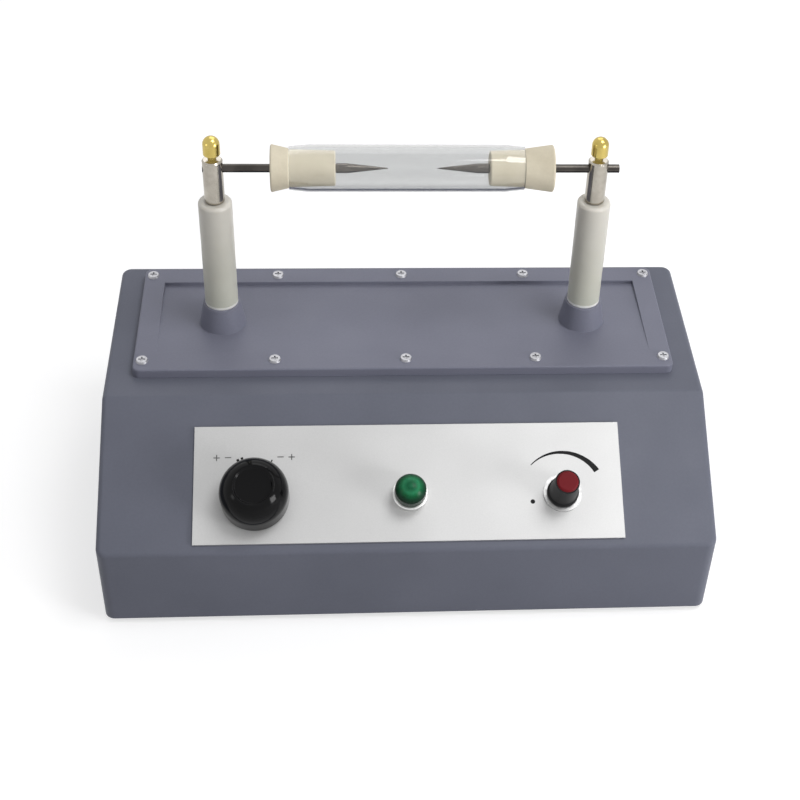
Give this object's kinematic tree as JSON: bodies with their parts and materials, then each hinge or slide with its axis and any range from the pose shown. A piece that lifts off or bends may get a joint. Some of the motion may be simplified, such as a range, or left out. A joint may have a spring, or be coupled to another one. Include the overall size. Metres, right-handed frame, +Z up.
{
  "type": "induction coil",
  "caption": "School induction coil: sloping desk case with polarity knob, voltage knob and lamp, and two posts holding a stoppered glass spark tube",
  "frame": {"origin": "on the table, under the middle of the outer box", "axes": "+X to the right of the control panel, +Y to the back, +Z up"},
  "size_m": [0.289, 0.181, 0.1962],
  "materials": {
    "case_grey": "satin",
    "lid_grey": "satin",
    "black_plastic": "glossy",
    "black_matte": "satin",
    "milky_plastic": "satin",
    "red_cap": "satin",
    "green_lens": "glossy",
    "panel_silver": "satin",
    "nickel": "polished",
    "steel": "satin",
    "brass": "polished",
    "copper_wire": "satin",
    "iron": "matte",
    "rubber_black": "matte",
    "rubber_cream": "matte",
    "clear_glass": "clear",
    "board_green": "satin",
    "sink_aluminium": "satin",
    "lead_sleeve": "satin"
  },
  "bodies": {
    "case": {"housing": "case_grey", "top_lid": "lid_grey", "lid_screws": "steel", "base_plate": "black_matte", "base_screws": "steel", "rubber_feet": "rubber_black", "foot_screws": "steel", "front_panel": "panel_silver", "polarity_switch": "black_matte", "polarity_switch_nut": "nickel", "adjuster": "black_matte", "adjuster_nut": "nickel", "solder_tags": "nickel", "lamp_body": "black_matte", "lamp_bezel": "nickel", "lamp_lens": "green_lens", "stud_nuts": "nickel", "glass_tube": "clear_glass", "iron_core": "iron", "primary_winding": "copper_wire", "coil_former": "black_matte", "secondary_winding": "copper_wire", "coil_cheeks": "black_matte", "cheek_screws": "steel", "driver_board": "board_green", "board_screws": "steel", "capacitors": "black_matte", "heat_sink": "sink_aluminium", "transistors": "black_matte", "mains_inlet": "black_matte", "inlet_screws": "steel", "inlet_blades": "nickel", "fuse_holder": "black_matte", "fuse_holder_nut": "nickel", "left_insulator": "milky_plastic", "left_post": "nickel", "left_stud": "steel", "left_stopper": "rubber_cream", "left_lead": "lead_sleeve", "right_insulator": "milky_plastic", "right_post": "nickel", "right_stud": "steel", "right_stopper": "rubber_cream", "right_lead": "lead_sleeve"},
    "polarity_knob": {"polarity_knob": "black_plastic", "polarity_set_screw": "steel", "polarity_shaft": "steel"},
    "adjuster_knob": {"adjuster_knob": "black_matte", "adjuster_cap": "red_cap", "adjuster_shaft": "steel"},
    "left_clamp_screw": {"left_clamp_screw": "brass"},
    "left_clamp_cap": {"left_clamp_cap": "brass"},
    "right_clamp_screw": {"right_clamp_screw": "brass"},
    "right_clamp_cap": {"right_clamp_cap": "brass"},
    "left_electrode": {"left_rod": "steel", "left_tip": "steel"},
    "right_electrode": {"right_rod": "steel", "right_tip": "steel"},
    "fuse": {"fuse": "clear_glass"},
    "fuse_cap": {"fuse_cap": "black_matte"}
  },
  "joints": [
    {"name": "polarity_turn", "type": "hinge", "parent": "case", "child": "polarity_knob", "pos_m": [-0.072, -0.07252, 0.06877], "axis": [0, 0.4955, -0.8686], "range_deg": [0, 45]},
    {"name": "voltage_turn", "type": "hinge", "parent": "case", "child": "adjuster_knob", "pos_m": [0.072, -0.07252, 0.06877], "axis": [0, 0.4955, -0.8686], "range_deg": [0, 240]},
    {"name": "left_clamp_lift", "type": "slide", "parent": "case", "child": "left_clamp_screw", "axis": [0, 0, 1], "range_m": [0, 0.0024]},
    {"name": "left_clamp_turn", "type": "hinge", "parent": "left_clamp_screw", "child": "left_clamp_cap", "pos_m": [-0.0898, 0.02843, 0.18425], "axis": [0, 0, 1], "range_deg": [0, 1080]},
    {"name": "left_electrode_slide", "type": "slide", "parent": "case", "child": "left_electrode", "axis": [1, 0, 0], "range_m": [0, 0.0025]},
    {"name": "right_clamp_lift", "type": "slide", "parent": "case", "child": "right_clamp_screw", "axis": [0, 0, 1], "range_m": [0, 0.0024]},
    {"name": "right_clamp_turn", "type": "hinge", "parent": "right_clamp_screw", "child": "right_clamp_cap", "pos_m": [0.0898, 0.02843, 0.18425], "axis": [0, 0, 1], "range_deg": [0, 1080]},
    {"name": "right_electrode_slide", "type": "slide", "parent": "case", "child": "right_electrode", "axis": [-1, 0, 0], "range_m": [0, 0.0075]},
    {"name": "fuse_draw", "type": "slide", "parent": "case", "child": "fuse", "axis": [0, 1, 0], "range_m": [0, 0.00625]},
    {"name": "fuse_cap_turn", "type": "hinge", "parent": "fuse", "child": "fuse_cap", "pos_m": [0.112, 0.0795, 0.061], "axis": [0, 1, 0], "range_deg": [0, 1800]}
  ],
  "couplings": [
    {"joint": "left_clamp_turn", "follows": "left_clamp_lift", "rad_per_m": 7854},
    {"joint": "right_clamp_turn", "follows": "right_clamp_lift", "rad_per_m": 7854},
    {"joint": "fuse_cap_turn", "follows": "fuse_draw", "rad_per_m": 5026.5}
  ]
}
